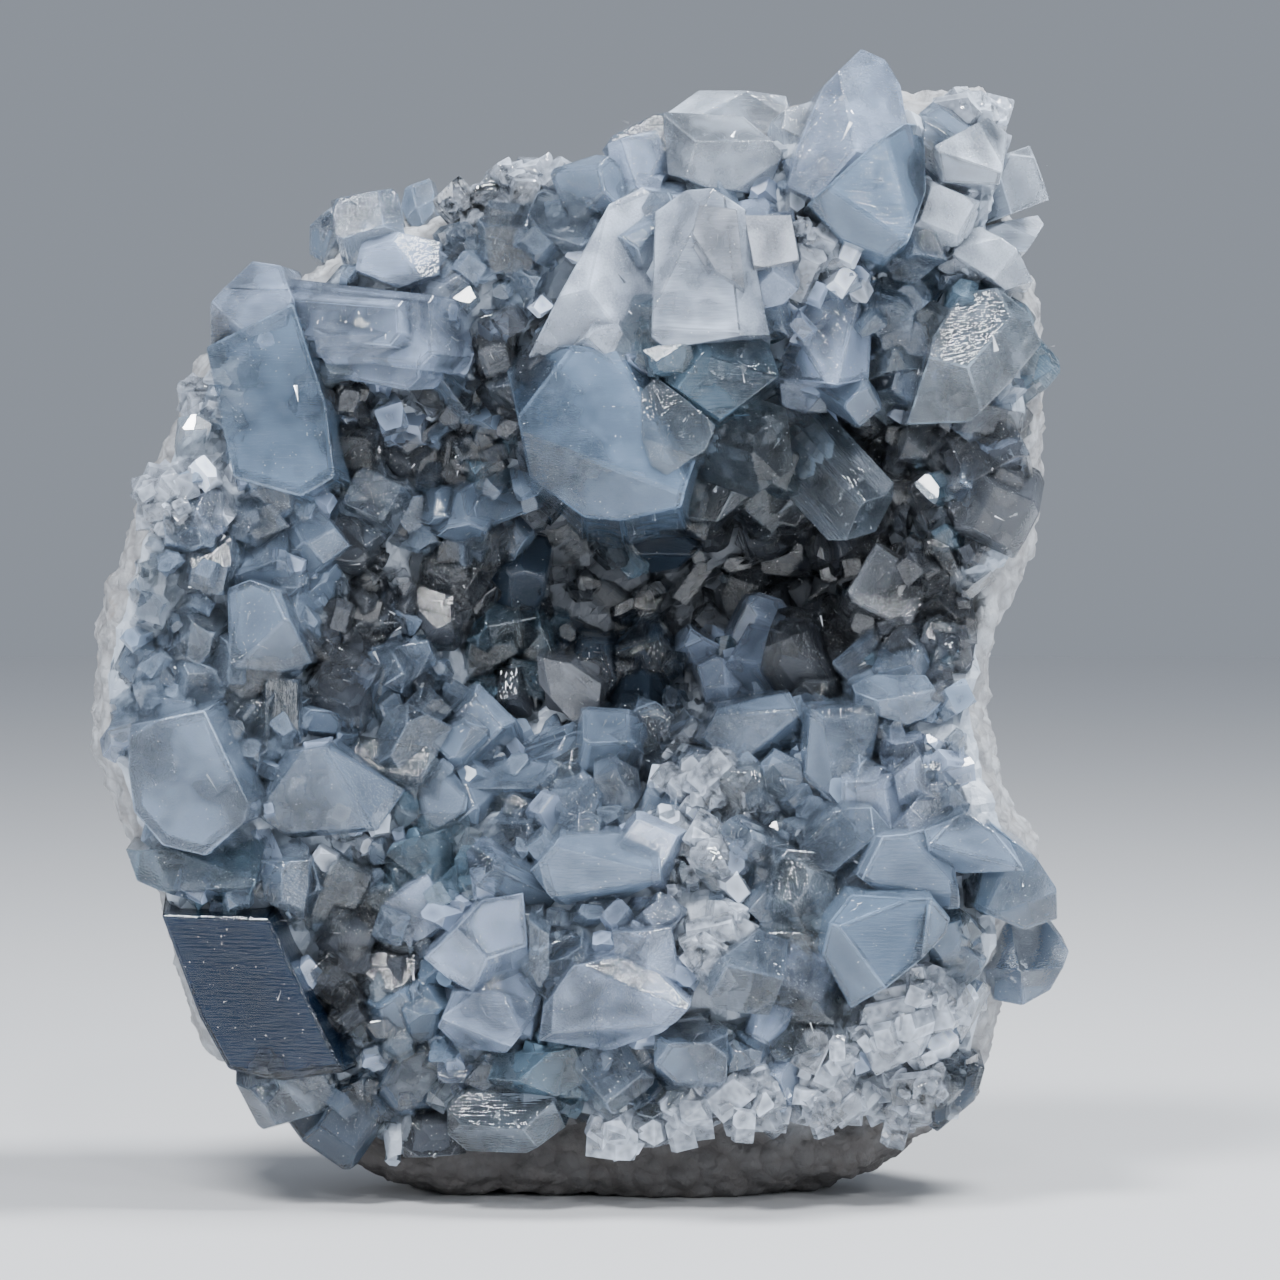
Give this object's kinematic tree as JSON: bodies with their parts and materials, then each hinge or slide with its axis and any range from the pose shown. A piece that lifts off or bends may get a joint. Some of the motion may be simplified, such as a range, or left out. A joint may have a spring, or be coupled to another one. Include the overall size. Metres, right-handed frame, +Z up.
{
  "type": "celestite geode",
  "caption": "Rounded lump of pale rock, open in front, its hollow lined with one crust of blocky blue-grey celestite crystals. Stands on a small flat spot.",
  "frame": {"origin": "on the small flat spot that the rock stands on, under the lump", "axes": "+Z up, the hollow with its crystals opens towards -Y, +X to the right as seen from the open front"},
  "size_m": [0.1037, 0.0592, 0.1189],
  "materials": {
    "rock": "pale grey, lumpy and sugary, matt",
    "celestite": "clear to milky blue-grey crystal, glassy faces"
  },
  "bodies": {
    "root": {"rock": "rock", "crystal_crust": "celestite"}
  },
  "joints": []
}
